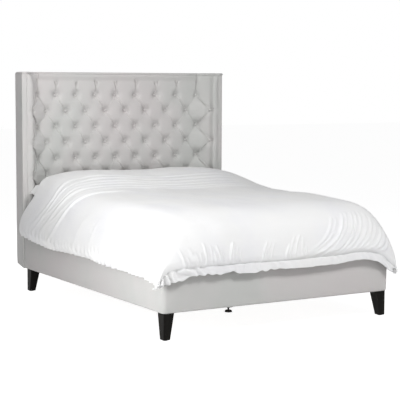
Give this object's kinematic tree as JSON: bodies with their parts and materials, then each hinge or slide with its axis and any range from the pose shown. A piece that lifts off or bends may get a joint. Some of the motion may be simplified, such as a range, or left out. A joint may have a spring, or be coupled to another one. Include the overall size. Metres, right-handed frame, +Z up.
{
  "type": "upholstered bed",
  "caption": "Winged bed with a diamond-buttoned headboard, padded rails, sprung slats, mattress, pillows and duvet, on tapered legs.",
  "frame": {"origin": "on the floor, under the middle of the dressed bed", "axes": "+Z up, +Y from the foot to the headboard, +X to the right seen from the foot"},
  "size_m": [1.7556, 2.352, 1.555],
  "materials": {
    "cream_fabric": "soft velvet upholstery cloth, light warm grey",
    "white_cotton": "white washed cotton",
    "mattress_knit": "off-white knitted ticking",
    "mattress_tape": "grey woven edge tape",
    "black_lacquer": "solid wood, satin black lacquer",
    "black_steel": "black powder coat",
    "zinc_steel": "bright zinc plating",
    "black_plastic": "moulded black plastic",
    "birch_slat": "laminated birch, clear lacquer",
    "pine_timber": "planed softwood",
    "plywood": "raw plywood"
  },
  "bodies": {
    "bed": {"beam_hangers": "black_steel", "corner_bracket_left": "black_steel", "corner_bracket_right": "black_steel", "duvet": "white_cotton", "foot_rail_board": "pine_timber", "foot_rail_cover": "cream_fabric", "frame_bolts": "zinc_steel", "headboard_back_cover": "cream_fabric", "headboard_board": "plywood", "headboard_buttons": "cream_fabric", "headboard_cushion": "cream_fabric", "headboard_post_left": "pine_timber", "headboard_post_right": "pine_timber", "headboard_rail_bottom": "pine_timber", "headboard_rail_middle": "pine_timber", "headboard_rail_top": "pine_timber", "headboard_top_cover": "cream_fabric", "join_plate_left": "black_steel", "join_plate_right": "black_steel", "leg_bolts": "zinc_steel", "leg_foot_left": "black_lacquer", "leg_foot_right": "black_lacquer", "leg_glides": "black_plastic", "leg_head_left": "black_lacquer", "leg_head_right": "black_lacquer", "mattress": "mattress_knit", "mattress_tapes": "mattress_tape", "middle_beam": "black_steel", "middle_leg_1": "black_steel", "middle_leg_2": "black_steel", "middle_leg_3": "black_steel", "pillow_left_lower": "white_cotton", "pillow_left_upper": "white_cotton", "pillow_right_lower": "white_cotton", "pillow_right_upper": "white_cotton", "side_ledger_left": "pine_timber", "side_ledger_right": "pine_timber", "side_rail_left_board": "pine_timber", "side_rail_left_cover": "cream_fabric", "side_rail_right_board": "pine_timber", "side_rail_right_cover": "cream_fabric", "slat_holders_left": "black_plastic", "slat_holders_middle": "black_plastic", "slat_holders_right": "black_plastic", "slats_left": "birch_slat", "slats_right": "birch_slat", "wing_buttons": "cream_fabric", "wing_left_board": "plywood", "wing_left_cover": "cream_fabric", "wing_left_pad": "cream_fabric", "wing_left_piping": "cream_fabric", "wing_left_post": "pine_timber", "wing_right_board": "plywood", "wing_right_cover": "cream_fabric", "wing_right_pad": "cream_fabric", "wing_right_piping": "cream_fabric", "wing_right_post": "pine_timber"},
    "screw_foot_1_body": {"screw_foot_1": "black_plastic"},
    "screw_foot_2_body": {"screw_foot_2": "black_plastic"},
    "screw_foot_3_body": {"screw_foot_3": "black_plastic"}
  },
  "joints": [
    {"name": "screw_foot_1_travel", "type": "slide", "parent": "bed", "child": "screw_foot_1_body", "axis": [0, 0, -1], "range_m": [-0.015, 0.02]},
    {"name": "screw_foot_2_travel", "type": "slide", "parent": "bed", "child": "screw_foot_2_body", "axis": [0, 0, -1], "range_m": [-0.015, 0.02]},
    {"name": "screw_foot_3_travel", "type": "slide", "parent": "bed", "child": "screw_foot_3_body", "axis": [0, 0, -1], "range_m": [-0.015, 0.02]}
  ]
}
